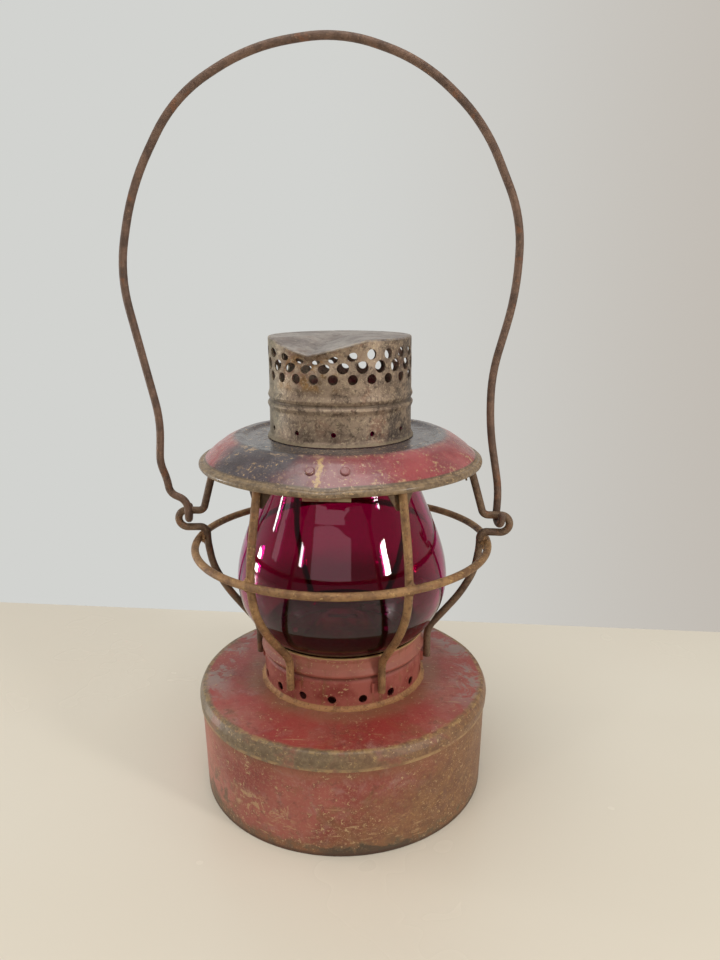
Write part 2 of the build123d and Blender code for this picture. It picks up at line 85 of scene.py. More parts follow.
# ---------------------------------------------------------------- material toolkit
def colour(red, green, blue):
    """A display colour, 0 to 255, as the linear colour that shaders use."""

    def linear(channel):
        share = channel / 255
        return share / 12.92 if share <= 0.04045 else ((share + 0.055) / 1.055) ** 2.4

    return (linear(red), linear(green), linear(blue), 1.0)


class Surface:
    """A node material that is built up in layers, in the object's own coordinates."""

    def __init__(self, name):
        self.material = bpy.data.materials.new(name)
        self.material.use_nodes = True
        self.nodes = self.material.node_tree.nodes
        self.links = self.material.node_tree.links
        self.nodes.clear()
        self.output = self.nodes.new("ShaderNodeOutputMaterial")
        self.shader = self.nodes.new("ShaderNodeBsdfPrincipled")
        self.links.new(self.shader.outputs["BSDF"], self.output.inputs["Surface"])
        self.place = self.nodes.new("ShaderNodeTexCoord").outputs["Object"]
        split = self.nodes.new("ShaderNodeSeparateXYZ")
        self.links.new(self.place, split.inputs[0])
        self.x, self.y, self.z = split.outputs
        forward = self.maths("MULTIPLY", self.y, -1.0)
        turn = self.maths("ARCTAN2", self.x, forward)
        self.azimuth = self.maths("MULTIPLY", turn, 180 / pi)
        squares = self.maths("MULTIPLY_ADD", self.x, self.x, self.maths("MULTIPLY", self.y, self.y))
        self.radius = self.maths("SQRT", squares)

    def put(self, value, socket):
        if isinstance(value, bpy.types.NodeSocket):
            self.links.new(value, socket)
        else:
            socket.default_value = value

    def maths(self, operation, first, second=None, third=None):
        node = self.nodes.new("ShaderNodeMath")
        node.operation = operation
        for value, socket in zip((first, second, third), node.inputs):
            if value is not None:
                self.put(value, socket)
        return node.outputs[0]

    def step(self, value, low, high):
        """0 at low, 1 at high, smooth between; low may be above high."""
        node = self.nodes.new("ShaderNodeMapRange")
        node.interpolation_type = "SMOOTHSTEP"
        rising = low < high
        self.put(value, node.inputs["Value"])
        node.inputs["From Min"].default_value = min(low, high)
        node.inputs["From Max"].default_value = max(low, high)
        node.inputs["To Min"].default_value = 0.0 if rising else 1.0
        node.inputs["To Max"].default_value = 1.0 if rising else 0.0
        return node.outputs["Result"]

    def side(self, low, high):
        """Fades in between two azimuths, and out again at the back where the azimuth wraps round."""
        away_from_back = self.step(self.maths("ABSOLUTE", self.azimuth), 174, 140)
        return self.both(self.step(self.azimuth, low, high), away_from_back)

    def band(self, value, middle, half, soft):
        """1 near middle, 0 further than half + soft from it."""
        distance = self.maths("ABSOLUTE", self.maths("SUBTRACT", value, middle))
        return self.step(distance, half + soft, half)

    def both(self, first, *others):
        """Where every one of these masks is."""
        for other in others:
            first = self.maths("MULTIPLY", first, other)
        return first

    def either(self, first, second):
        return self.maths("MAXIMUM", first, second)

    def combine(self, x, y, z):
        node = self.nodes.new("ShaderNodeCombineXYZ")
        for value, socket in zip((x, y, z), node.inputs):
            self.put(value, socket)
        return node.outputs[0]

    def noise(self, size, detail=5.0, rough=0.6, place=None, warp=0.0):
        """Cloudy noise whose blotches are about size metres across."""
        node = self.nodes.new("ShaderNodeTexNoise")
        self.links.new(place or self.place, node.inputs["Vector"])
        node.inputs["Scale"].default_value = 1 / size
        node.inputs["Detail"].default_value = detail
        node.inputs["Roughness"].default_value = rough
        node.inputs["Distortion"].default_value = warp
        return node.outputs["Fac"]

    def patches(self, low, high, size, detail=5.0, rough=0.6, place=None, warp=0.0):
        """A mask of ragged patches: 0 where the noise is at low, 1 where it is at high."""
        return self.step(self.noise(size, detail, rough, place, warp), low, high)

    def jitter(self, spread, size, detail=5.0, rough=0.6, warp=0.0):
        """Noise between minus and plus half of spread, for edges that wander."""
        return self.maths("MULTIPLY_ADD", self.noise(size, detail, rough, None, warp), spread, -spread / 2)

    def mix(self, factor, first, second):
        node = self.nodes.new("ShaderNodeMix")
        node.data_type = "RGBA"
        self.put(factor, node.inputs["Factor"])
        self.put(first, node.inputs["A"])
        self.put(second, node.inputs["B"])
        return node.outputs["Result"]

    def coat(self, mask, first, second):
        """The lowest layer, which runs from one colour to another."""
        self.base = self.mix(mask, first, second)

    def cover(self, over, mask, strength=1.0):
        """Lays a colour over the layers so far where the mask is 1."""
        if strength != 1.0:
            mask = self.maths("MULTIPLY", mask, strength)
        self.base = self.mix(mask, self.base, over)

    def between(self, mask, low, high):
        """A number that runs from low to high as the mask runs from 0 to 1."""
        return self.maths("MULTIPLY_ADD", mask, high - low, low)

    def bump(self, height, depth):
        """Relief, depth metres from a height of 0 to a height of 1."""
        node = self.nodes.new("ShaderNodeBump")
        node.inputs["Distance"].default_value = depth
        self.links.new(height, node.inputs["Height"])
        if self.shader.inputs["Normal"].is_linked:
            self.links.new(self.shader.inputs["Normal"].links[0].from_socket, node.inputs["Normal"])
        self.links.new(node.outputs["Normal"], self.shader.inputs["Normal"])

    def finish(self, roughness, **fixed):
        self.put(self.base, self.shader.inputs["Base Color"])
        self.put(roughness, self.shader.inputs["Roughness"])
        for name, value in fixed.items():
            self.put(value, self.shader.inputs[name.replace("_", " ")])
        return self.material


# ---------------------------------------------------------------- colours of the lantern
ROSE = colour(164, 90, 78)
BRICK = colour(134, 58, 50)
DEEP_RED = colour(162, 52, 50)
LILAC = colour(172, 134, 126)
TAN = colour(190, 158, 116)
KHAKI = colour(140, 116, 80)
OLIVE = colour(98, 84, 62)
BROWN = colour(136, 100, 64)
RUST = colour(132, 90, 58)
DARK_RUST = colour(74, 50, 38)
OCHRE = colour(186, 154, 98)
SOOT = colour(58, 54, 56)
PALE_GREY = colour(150, 146, 138)
NEAR_BLACK = colour(24, 20, 18)


def faded_paint(surface):
    """The red paint of the base: blotchy, dusty, stained and speckled."""
    blotches = surface.patches(0.38, 0.62, 45 * MM, 4, 0.55)
    surface.coat(blotches, ROSE, BRICK)
    dust = surface.patches(0.50, 0.72, 11 * MM, 8, 0.7, warp=0.6)
    surface.cover(LILAC, dust, 0.55)
    stains = surface.patches(0.52, 0.64, 21 * MM, 9, 0.68, warp=1.0)
    surface.cover(RUST, stains, 0.6)
    grime = surface.patches(0.50, 0.64, 4.2 * MM, 8, 0.75)
    surface.cover(DARK_RUST, grime, 0.42)
    grain = surface.patches(0.50, 0.66, 1.4 * MM, 4, 0.75)
    surface.cover(colour(186, 138, 112), grain, 0.30)


def specks(surface, size, amount, over=TAN):
    """Small chips down to the tin."""
    where = surface.patches(0.38, 0.56, 20 * MM, 3)
    chips = surface.patches(amount, amount + 0.04, size, 3, 0.75)
    surface.cover(over, surface.both(chips, where), 0.85)


def scratches(surface, turn, strength=0.6, threshold=0.66):
    """Fine hand scratches, stretched along the direction that turn gives about Z and X."""
    rotate = surface.nodes.new("ShaderNodeMapping")
    rotate.inputs["Rotation"].default_value = turn
    rotate.inputs["Scale"].default_value = (0.035, 1.0, 1.0)
    surface.links.new(surface.place, rotate.inputs["Vector"])
    lines = surface.noise(1.1 * MM, 2, 0.5, place=rotate.outputs[0])
    some = surface.patches(0.5, 0.62, 16 * MM, 3)
    mask = surface.both(surface.step(lines, threshold, threshold + 0.06), some)
    surface.cover(TAN, mask, strength)


def paint_relief(surface):
    surface.bump(surface.noise(12 * MM, 4, 0.6), 0.5 * MM)
    surface.bump(surface.noise(1.6 * MM, 6, 0.7), 0.14 * MM)


def base_wall_material():
    surface = Surface("base_wall_paint")
    faded_paint(surface)
    # painted light: the left side of the wall is painted paler and pinker, as lit from the left
    painted_light_left = surface.both(surface.side(-34, -62), surface.noise(15 * MM, 6, 0.65))
    surface.cover(colour(200, 136, 120), painted_light_left, 0.75)
    # the paint is worn to brown on the right, further round the lower it is
    slant_per_metre = -1050.0
    slant = surface.maths("MULTIPLY_ADD", surface.z, slant_per_metre, surface.azimuth)
    ragged = surface.jitter(44.0, 14 * MM, 7, 0.7, warp=0.6)
    worn_side = surface.step(surface.maths("ADD", slant, ragged), -30, 16)
    worn_side = surface.both(worn_side, surface.side(-180, -179))
    brown = surface.mix(surface.patches(0.40, 0.62, 6 * MM, 8, 0.75), BROWN, colour(112, 80, 54))
    surface.cover(brown, worn_side, 0.80)
    flecks = surface.patches(0.53, 0.64, 1.7 * MM, 5, 0.75)
    surface.cover(colour(182, 146, 92), surface.both(worn_side, flecks), 0.50)
    wander = surface.jitter(18 * MM, 12 * MM, 7, 0.7, warp=0.7)
    level = surface.maths("ADD", surface.z, wander)
    # a rusty foot, mossy at the left corner
    foot = surface.step(level, 8.5 * MM, 4 * MM)
    foot_brown = surface.mix(surface.patches(0.42, 0.6, 4 * MM, 7, 0.75), RUST, OLIVE)
    surface.cover(foot_brown, foot, 0.85)
    corner = surface.both(surface.band(surface.azimuth, -54, 7, 12), surface.step(level, 30 * MM, 16 * MM))
    moss = surface.patches(0.46, 0.56, 7 * MM, 8, 0.75, warp=0.6)
    surface.cover(OLIVE, surface.both(corner, moss), 0.75)
    # scuffs low on the left of the front
    scuff_height = surface.band(surface.z, 19.5 * MM, 3.5 * MM, 4 * MM)
    scuff_place = surface.both(surface.band(surface.azimuth, -27, 9, 8), scuff_height)
    scuffs = surface.patches(0.50, 0.58, 5.5 * MM, 8, 0.75, warp=0.8)
    surface.cover(TAN, surface.both(scuff_place, scuffs), 0.7)
    under_band = surface.step(surface.z, BAND_BOTTOM - 9.1 * MM, BAND_BOTTOM - 0.1 * MM)
    surface.cover(BROWN, surface.both(under_band, surface.noise(12 * MM, 8, 0.7)), 0.8)
    # fine rings scratched round the wall near its foot
    drag = surface.combine(surface.maths("MULTIPLY", surface.azimuth, 0.00022), 0.0, surface.z)
    rings = surface.patches(0.56, 0.66, 1.3 * MM, 3, 0.6, place=drag)
    low = surface.band(surface.z, 11 * MM, 5 * MM, 4 * MM)
    in_front = surface.band(surface.azimuth, 2, 30, 14)
    surface.cover(TAN, surface.both(rings, low, in_front), 0.55)
    specks(surface, 2.1 * MM, 0.60)
    specks(surface, 0.8 * MM, 0.63, over=colour(206, 172, 136))
    scratches(surface, (0.0, radians(28), radians(8)), strength=0.42)
    scratches(surface, (0.0, radians(-52), radians(14)), strength=0.42, threshold=0.67)
    grimy = surface.both(surface.band(surface.azimuth, 14, 14, 6), surface.step(level, 5 * MM, 3.5 * MM))
    surface.cover(colour(70, 60, 50), grimy, 0.75)
    edge = surface.step(surface.z, 2.2 * MM, 0.9 * MM)
    surface.cover(DARK_RUST, edge, 0.7)
    paint_relief(surface)
    surface.bump(surface.noise(1.3 * MM, 3, 0.6, place=drag), 0.10 * MM)
    roughness = surface.between(surface.noise(10 * MM, 5), 0.36, 0.62)
    return surface.finish(roughness, Specular_IOR_Level=0.45)


def base_top_material():
    surface = Surface("base_top_paint")
    faded_paint(surface)
    clean = surface.patches(0.64, 0.40, 30 * MM, 6, 0.65)
    on_top = surface.step(surface.z, LID_EDGE - 1.3 * MM, LID_EDGE + 0.4 * MM)
    surface.cover(DEEP_RED, surface.both(clean, on_top), 0.62)
    # the paint has flaked off at both sides
    turned = surface.maths("ABSOLUTE", surface.azimuth)
    sides = surface.both(surface.step(turned, 50, 80), surface.step(surface.radius, 56 * MM, 66 * MM))
    bare = surface.patches(0.47, 0.55, 13 * MM, 9, 0.7, warp=0.8)
    surface.cover(PALE_GREY, surface.both(sides, bare), 0.62)
    dusty = surface.both(surface.step(surface.radius, 56 * MM, 46 * MM), surface.noise(20 * MM, 5))
    surface.cover(KHAKI, dusty, 0.8)
    # the shoulder is rubbed to olive on the left and brown on the right
    wander = surface.jitter(5.2 * MM, 12 * MM, 7, 0.65, warp=0.5)
    reach = surface.maths("ADD", surface.radius, wander)
    shoulder = surface.step(reach, LID_SHOULDER, LID_SHOULDER + 2.4 * MM)
    to_right = surface.side(-12, 40)
    fine = surface.patches(0.40, 0.62, 3 * MM, 8, 0.75)
    olive = surface.mix(fine, colour(122, 108, 82), OLIVE)
    browned = surface.mix(fine, BROWN, colour(108, 78, 54))
    band_colour = surface.mix(to_right, olive, browned)
    kept = surface.patches(0.62, 0.50, 14 * MM, 8, 0.7, warp=0.6)
    shoulder = surface.both(shoulder, surface.between(kept, 0.55, 1.0))
    surface.cover(band_colour, shoulder, 0.92)
    height = surface.maths("MULTIPLY_ADD", wander, 0.25, surface.z)
    crest = surface.band(height, LID_EDGE, 0.2 * MM, 0.5 * MM)
    rubbed = surface.patches(0.44, 0.58, 4 * MM, 6, 0.7)
    outside = surface.step(surface.radius, LID_SHOULDER + 0.3 * MM, LID_SHOULDER + 1.3 * MM)
    crest = surface.both(crest, outside)
    surface.cover(OCHRE, surface.both(crest, rubbed), 0.42)
    fleck = surface.patches(0.58, 0.66, 1.6 * MM, 4, 0.7)
    surface.cover(OCHRE, surface.both(shoulder, fleck), 0.5)
    at_seam = surface.step(surface.z, BAND_BOTTOM + 2.1 * MM, BAND_BOTTOM + 0.9 * MM)
    seam = surface.both(at_seam, surface.patches(0.40, 0.56, 6 * MM, 7, 0.7))
    surface.cover(colour(186, 150, 102), seam, 0.6)
    specks(surface, 1.9 * MM, 0.62)
    scratches(surface, (0.0, 0.0, radians(35)))
    scratches(surface, (0.0, 0.0, radians(-64)), threshold=0.68)
    paint_relief(surface)
    roughness = surface.between(surface.noise(12 * MM, 5), 0.30, 0.58)
    return surface.finish(roughness, Specular_IOR_Level=0.5)


def collar_material():
    surface = Surface("collar_paint")
    surface.coat(surface.patches(0.4, 0.62, 20 * MM, 5), colour(166, 92, 80), BRICK)
    above_bead = surface.step(surface.z, COLLAR_BEAD - 0.9 * MM, COLLAR_BEAD + 5.6 * MM)
    paler = surface.both(above_bead, surface.noise(10 * MM, 6))
    surface.cover(colour(186, 132, 112), paler, 0.75)
    along = surface.maths("MULTIPLY", surface.azimuth, 0.0007)
    runs = surface.combine(along, 0.0, surface.maths("MULTIPLY", surface.z, 0.25))
    streaks = surface.patches(0.52, 0.66, 4 * MM, 6, 0.6, place=runs)
    surface.cover(RUST, streaks, 0.6)
    bead = surface.band(surface.z, COLLAR_BEAD, 0.4 * MM, 0.9 * MM)
    surface.cover(DARK_RUST, bead, 0.55)
    lip = surface.step(surface.z, COLLAR_TOP - 1.0 * MM, COLLAR_TOP - 0.2 * MM)
    surface.cover(OCHRE, lip, 0.8)
    foot = surface.step(surface.z, BASE_TOP + 2.8 * MM, BASE_TOP + 0.6 * MM)
    surface.cover(OCHRE, foot, 0.6)
    specks(surface, 1.7 * MM, 0.60)
    paint_relief(surface)
    roughness = surface.between(surface.noise(8 * MM, 5), 0.42, 0.68)
    return surface.finish(roughness, Specular_IOR_Level=0.4)


def solder_material():
    surface = Surface("ochre_solder")
    surface.coat(surface.patches(0.46, 0.68, 5 * MM, 9, 0.72), colour(180, 132, 86), RUST)
    pits = surface.patches(0.56, 0.68, 1.2 * MM, 5, 0.7)
    surface.cover(DARK_RUST, pits, 0.7)
    surface.bump(surface.noise(1.6 * MM, 6, 0.7), 0.35 * MM)
    roughness = surface.between(surface.noise(3 * MM, 4), 0.45, 0.75)
    return surface.finish(roughness, Metallic=0.15)


def wire_material(name, body, dark, light, dark_share=0.5, light_share=0.4, metallic=0.2):
    """Rusty wire with the last of its paint or tin, from three display colours."""
    surface = Surface(name)
    worn = surface.patches(0.38, 0.64, 12 * MM, 7, 0.7)
    surface.coat(worn, colour(*body), colour(*dark))
    pits = surface.patches(0.50, 0.66, 1.6 * MM, 5, 0.7)
    surface.cover(DARK_RUST, pits, dark_share)
    glints = surface.patches(0.58, 0.67, 2.1 * MM, 4, 0.75)
    surface.cover(colour(*light), glints, light_share)
    scale = surface.patches(0.56, 0.64, 7 * MM, 6, 0.7)
    surface.cover(colour(140, 92, 62), scale, 0.5)
    surface.bump(surface.noise(2.8 * MM, 5, 0.7), 0.35 * MM)
    surface.bump(surface.noise(0.7 * MM, 4, 0.7), 0.10 * MM)
    roughness = surface.between(surface.noise(3 * MM, 5), 0.38, 0.68)
    return surface.finish(roughness, Metallic=metallic, Specular_IOR_Level=0.4)


def hood_material():
    surface = Surface("hood_enamel")
    shade = surface.patches(0.38, 0.64, 30 * MM, 5)
    surface.coat(shade, colour(156, 72, 74), colour(122, 52, 58))
    # red, mauve at the front, smoked grey left of it
    wander = surface.jitter(36.0, 18 * MM, 7, 0.65)
    turn = surface.maths("ADD", surface.azimuth, wander)
    mauve = surface.both(surface.step(turn, -22, -8), surface.step(turn, 24, 6))
    surface.cover(colour(128, 84, 84), mauve, 0.75)
    left = surface.both(surface.step(turn, -66, -54), surface.step(turn, -4, -22))
    grey = surface.mix(surface.patches(0.35, 0.65, 20 * MM, 6), colour(48, 45, 48), colour(78, 74, 78))
    surface.cover(grey, left, 0.95)
    far_left = surface.side(-48, -72)
    surface.cover(colour(170, 84, 76), far_left, 0.45)
    # smoked grey inside the crease, and the crease itself rubbed bare
    unevenness = surface.jitter(5 * MM, 10 * MM, 5)
    reach = surface.maths("ADD", surface.radius, unevenness)
    inner = surface.step(reach, HOOD_CREASE + 1.2 * MM, HOOD_CREASE - 2.8 * MM)
    surface.cover(colour(70, 66, 68), inner, 0.94)
    crease = surface.band(surface.radius, HOOD_CREASE, 0.3 * MM, 1.1 * MM)
    worn = surface.patches(0.48, 0.60, 5 * MM, 8, 0.72, warp=0.5)
    crease_side = surface.between(surface.side(10, -16), 0.35, 1.0)
    surface.cover(colour(168, 142, 112), surface.both(crease, worn, crease_side), 0.8)
    # chips along the rim, mostly on the right
    near_rim = surface.band(surface.radius, HOOD_RIM - 1.9 * MM, 1.2 * MM, 2.2 * MM)
    chips = surface.patches(0.572, 0.600, 7.5 * MM, 8, 0.74, warp=0.6)
    by_side = surface.between(surface.side(2, 22), 0.3, 1.0)
    surface.cover(TAN, surface.both(near_rim, chips, by_side), 0.8)
    # a streak of bare tin down the front
    ragged = surface.jitter(8.0, 3 * MM, 8, 0.75)
    streak = surface.band(surface.maths("ADD", surface.azimuth, ragged), -3.4, 0.5, 0.9)
    outside = surface.step(surface.radius, HOOD_CREASE - 0.3 * MM, HOOD_CREASE + 1.7 * MM)
    streak = surface.both(streak, outside)
    broken = surface.patches(0.36, 0.50, 2.6 * MM, 6, 0.75)
    surface.cover(OCHRE, surface.both(streak, broken), 0.95)
    rivets = surface.band(surface.azimuth, 0.0, 14.0, 8.0)
    small = surface.patches(0.605, 0.635, 3.2 * MM, 8, 0.76, warp=0.5)
    surface.cover(colour(188, 160, 136), surface.both(rivets, small), 0.75)
    # the rolled rim has lost its paint
    rim = surface.step(surface.radius, HOOD_RIM, HOOD_RIM + 0.4 * MM)
    mottle = surface.patches(0.38, 0.62, 3.5 * MM, 8, 0.75)
    tin = surface.mix(mottle, colour(142, 120, 88), colour(94, 76, 54))
    surface.cover(tin, rim, 0.97)
    groove = surface.band(surface.radius, HOOD_RIM + 0.3 * MM, 0.2 * MM, 0.3 * MM)
    surface.cover(colour(84, 68, 50), groove, 0.7)
    specks(surface, 1.8 * MM, 0.60)
    specks(surface, 0.8 * MM, 0.63, over=colour(196, 172, 150))
    scratches(surface, (0.0, 0.0, radians(80)), strength=0.5)
    under = surface.step(surface.z, BRIM_BOTTOM + 0.5 * MM, BRIM_BOTTOM - 0.1 * MM)
    surface.cover(RUST, under, 0.5)
    surface.bump(surface.noise(11 * MM, 3, 0.5), 0.35 * MM)
    surface.bump(surface.noise(2.2 * MM, 5, 0.7), 0.08 * MM)
    dull = surface.either(rim, surface.patches(0.48, 0.70, 6 * MM, 7))
    roughness = surface.between(dull, 0.26, 0.55)
    return surface.finish(roughness, Coat_Weight=0.35, Coat_Roughness=0.22, Specular_IOR_Level=0.5)


def chimney_material():
    surface = Surface("sooty_tin")
    clouds = surface.patches(0.36, 0.66, 12 * MM, 7, 0.65)
    surface.coat(clouds, colour(158, 138, 118), colour(116, 98, 84))
    warm = surface.patches(0.53, 0.66, 16 * MM, 6, 0.65, warp=0.8)
    surface.cover(colour(126, 84, 66), warm, 0.6)
    left = surface.side(-30, -62)
    surface.cover(colour(124, 124, 106), surface.both(left, surface.noise(10 * MM, 5)))
    right = surface.band(surface.azimuth, 66, 16, 20)
    surface.cover(SOOT, surface.both(right, surface.patches(0.42, 0.6, 10 * MM, 5)), 0.65)
    by_rows = surface.band(surface.z, CHIMNEY_HOLES, 5.5 * MM, 4 * MM)
    near_holes = surface.both(by_rows, surface.band(surface.azimuth, -24, 20, 14))
    gold = surface.patches(0.48, 0.60, 6 * MM, 7, 0.7)
    surface.cover(colour(160, 120, 66), surface.both(near_holes, gold), 0.7)
    fine = surface.patches(0.52, 0.62, 1.2 * MM, 5, 0.78)
    surface.cover(colour(196, 178, 148), fine, 0.62)
    dark = surface.patches(0.50, 0.62, 3 * MM, 8, 0.78)
    surface.cover(colour(62, 50, 42), dark, 0.62)
    crimp = surface.band(surface.z, CHIMNEY_CRIMP, 0.3 * MM, 0.9 * MM)
    surface.cover(colour(70, 58, 48), crimp, 0.6)
    foot = surface.step(surface.z, CHIMNEY_FOOT + 1.5 * MM, CHIMNEY_FOOT)
    surface.cover(colour(146, 132, 108), foot, 0.6)
    seam = surface.band(surface.azimuth, 3.0, 0.5, 0.8)
    surface.cover(colour(176, 158, 128), surface.both(seam, fine), 0.7)
    surface.bump(surface.noise(6 * MM, 4, 0.6), 0.35 * MM)
    surface.bump(surface.noise(1.4 * MM, 6, 0.7), 0.12 * MM)
    roughness = surface.between(surface.noise(5 * MM, 6), 0.36, 0.66)
    return surface.finish(roughness, Metallic=0.45, Specular_IOR_Level=0.5)


def cap_material():
    surface = Surface("sooty_cap")
    clouds = surface.patches(0.36, 0.64, 14 * MM, 7, 0.65, warp=0.5)
    surface.coat(clouds, colour(166, 158, 152), colour(126, 116, 112))
    warm = surface.patches(0.55, 0.68, 11 * MM, 7, 0.7)
    surface.cover(colour(126, 96, 82), warm, 0.5)
    fine = surface.patches(0.55, 0.66, 1.9 * MM, 5, 0.75)
    surface.cover(colour(188, 178, 162), fine, 0.5)
    dark = surface.patches(0.52, 0.66, 3.5 * MM, 7, 0.75)
    surface.cover(colour(62, 54, 52), dark, 0.5)
    edge = surface.step(surface.radius, CHIMNEY_RADIUS - 1.7 * MM, CHIMNEY_RADIUS - 0.9 * MM)
    rubbed = surface.both(edge, surface.patches(0.44, 0.6, 4 * MM, 6, 0.7))
    surface.cover(colour(168, 152, 126), rubbed, 0.55)
    surface.bump(surface.noise(7 * MM, 4, 0.6), 0.35 * MM)
    surface.bump(surface.noise(1.6 * MM, 6, 0.7), 0.12 * MM)
    roughness = surface.between(surface.noise(5 * MM, 6), 0.34, 0.62)
    return surface.finish(roughness, Metallic=0.45, Specular_IOR_Level=0.5)


def glass_material():
    surface = Surface("ruby_glass")
    # painted shade: the glass is tinted darker towards the bottom of the globe, brighter higher up
    depth = surface.step(surface.z, 94 * MM, 112 * MM)
    surface.coat(depth, colour(112, 4, 58), colour(182, 6, 112))
    surface.bump(surface.noise(30 * MM, 2, 0.4), 0.25 * MM)
    smear = surface.patches(0.52, 0.72, 20 * MM, 5, 0.6)
    roughness = surface.between(smear, 0.012, 0.05)
    return surface.finish(roughness, Transmission_Weight=1.0, IOR=1.5, Specular_IOR_Level=0.5)


def fitting_material():
    surface = Surface("worn_fittings")
    clouds = surface.patches(0.38, 0.62, 6 * MM, 7, 0.7)
    surface.coat(clouds, colour(156, 136, 104), colour(112, 92, 66))
    paint_left = surface.patches(0.55, 0.62, 9 * MM, 6, 0.7)
    surface.cover(colour(132, 60, 56), paint_left, 0.6)
    pits = surface.patches(0.54, 0.68, 1.6 * MM, 5, 0.7)
    surface.cover(DARK_RUST, pits, 0.6)
    surface.bump(surface.noise(2 * MM, 6, 0.7), 0.15 * MM)
    roughness = surface.between(surface.noise(4 * MM, 5), 0.4, 0.68)
    return surface.finish(roughness, Metallic=0.35)


def tin_material():
    surface = Surface("dull_tin")
    clouds = surface.patches(0.36, 0.64, 9 * MM, 7, 0.7)
    surface.coat(clouds, colour(112, 98, 82), colour(92, 66, 46))
    bloom = surface.patches(0.54, 0.66, 4 * MM, 7, 0.72)
    surface.cover(DARK_RUST, bloom, 0.55)
    surface.bump(surface.noise(2.4 * MM, 6, 0.7), 0.14 * MM)
    roughness = surface.between(surface.noise(6 * MM, 5), 0.38, 0.7)
    return surface.finish(roughness, Metallic=0.5)


def brass_material():
    surface = Surface("aged_brass")
    clouds = surface.patches(0.36, 0.66, 7 * MM, 7, 0.65)
    surface.coat(clouds, colour(150, 116, 62), colour(90, 66, 40))
    spots = surface.patches(0.56, 0.68, 2.2 * MM, 5, 0.7)
    surface.cover(colour(70, 52, 34), spots, 0.55)
    surface.bump(surface.noise(2 * MM, 5, 0.6), 0.05 * MM)
    roughness = surface.between(surface.noise(5 * MM, 5), 0.24, 0.5)
    return surface.finish(roughness, Metallic=0.9)


def cotton_material(top):
    """Pale cotton, yellowed by oil low down and charred at the top."""
    surface = Surface("wick_cotton")
    surface.coat(surface.noise(1.2 * MM, 4), colour(206, 194, 166), colour(164, 146, 112))
    oiled = surface.step(surface.z, 52 * MM, 30 * MM)
    surface.cover(colour(150, 124, 78), oiled, 0.6)
    wander = surface.jitter(3 * MM, 2 * MM, 4)
    level = surface.maths("ADD", surface.z, wander)
    burnt = surface.step(level, top - 4.5 * MM, top - 1.5 * MM)
    surface.cover(NEAR_BLACK, burnt, 0.97)
    surface.bump(surface.noise(0.4 * MM, 3), 0.08 * MM)
    return surface.finish(surface.between(burnt, 0.86, 0.98), Sheen_Weight=0.3)


# ---------------------------------------------------------------- bent copies of pressed parts
def refine(mesh_data, longest, rounds=5):
    """Splits edges until none is much longer than longest."""
    for _ in range(rounds):
        long_edges = [edge for edge in mesh_data.edges if edge.calc_length() > longest]
        if not long_edges:
            break
        bmesh.ops.subdivide_edges(mesh_data, edges=long_edges, cuts=1, use_grid_fill=False)
        bmesh.ops.triangulate(mesh_data, faces=[face for face in mesh_data.faces if len(face.verts) > 3])


def piece_from(mesh_data, name, body):
    """A new object with this mesh, which rides on a body."""
    piece = bpy.data.objects.new(name, bpy.data.meshes.new(name))
    bpy.context.scene.collection.objects.link(piece)
    mesh_data.to_mesh(piece.data)
    mesh_data.free()
    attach(piece, body)
    return piece


def bent_copy(node, name, longest, move, body, sharp=35):
    """A new piece with the CAD node's shape, every point of it moved a little, in place of the node."""
    mesh_data = bmesh.new()
    mesh_data.from_mesh(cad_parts[node].data)
    bmesh.ops.remove_doubles(mesh_data, verts=mesh_data.verts, dist=0.002 * MM)
    refine(mesh_data, longest)
    for face in mesh_data.faces:
        face.smooth = True
    for edge in mesh_data.edges:
        edge.smooth = len(edge.link_faces) == 2 and edge.calc_face_angle(0.0) < radians(sharp)
    for vertex in mesh_data.verts:
        vertex.co = move(vertex.co.copy())
    piece = piece_from(mesh_data, name, body)
    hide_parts(node)
    return piece


def radial(point, distance):
    """The point moved away from the lantern's axis by distance."""
    around = Vector((point.x, point.y, 0.0))
    return point + around.normalized() * distance if around.length > 0.1 * MM else point


def lumps(point, size, seed):
    """Smooth noise from -1 to 1."""
    return noise.noise(point / size + Vector((seed, 3 * seed, -seed)))


# The dent in the chimney's top: two flat flanks, each between the bottom of the V and a fold line
# that runs from the rim to the apex on the cap.
V_AZIMUTH = -20.5
V_DEPTH = 6.8 * MM
FOLD_LEFT = -64
FOLD_RIGHT = 26
FOLD_APEX = Vector((0.0, 15 * MM))
DENT_FLOOR = 15 * MM  # the dent dies out this far under the top


def on_rim(azimuth):
    """The point of the chimney's top rim at an azimuth, seen from above."""
    turn = radians(azimuth)
    return Vector((sin(turn), -cos(turn))) * CHIMNEY_RADIUS


def fold_depth(point, rim_fold):
    """How deep one flat flank of the dent is: 0 along its fold line, V_DEPTH at the bottom of the V."""
    along = (FOLD_APEX - rim_fold).normalized()
    across = Vector((-along.y, along.x))
    deepest = (on_rim(V_AZIMUTH) - rim_fold).dot(across)
    return V_DEPTH * (Vector((point.x, point.y)) - rim_fold).dot(across) / deepest


def dent_depth(point):
    """The V-shaped dent that was knocked into the front left of the chimney's top."""
    depth = min(fold_depth(point, on_rim(FOLD_LEFT)), fold_depth(point, on_rim(FOLD_RIGHT)))
    return max(depth, 0.0)


